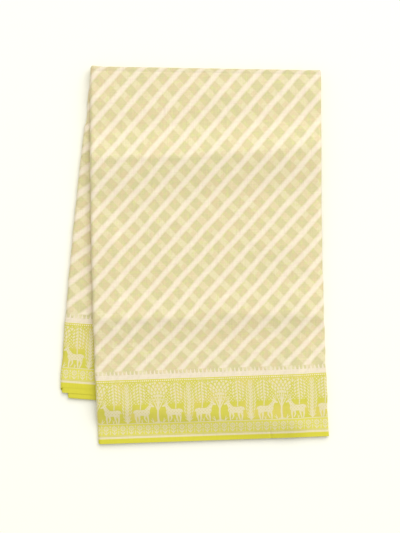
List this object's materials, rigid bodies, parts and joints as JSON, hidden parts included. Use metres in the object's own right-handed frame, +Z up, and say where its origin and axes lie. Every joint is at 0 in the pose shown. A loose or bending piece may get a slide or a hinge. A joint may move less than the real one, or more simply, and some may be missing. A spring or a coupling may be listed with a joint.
{
  "type": "folded silk saree",
  "caption": "Light silk saree with a diagonal check and a woven lime border, folded into a flat pack and turned over once, lying flat.",
  "frame": {"origin": "middle of the footprint, on the surface that the saree lies on", "axes": "+Z up from the surface, +Y along the cloth's width to the turned edge, +X to the right with the front border towards the viewer"},
  "size_m": [0.438, 0.6159, 0.0256],
  "materials": {
    "field_silk": "satin",
    "border_silk": "satin",
    "selvedge_silk": "satin"
  },
  "bodies": {
    "root": {"front_border": "border_silk", "front_field": "field_silk", "top_turn": "field_silk", "back_field": "field_silk", "back_border": "border_silk", "inner_panels": "field_silk", "front_selvedges": "selvedge_silk", "back_selvedges": "selvedge_silk"}
  },
  "joints": []
}
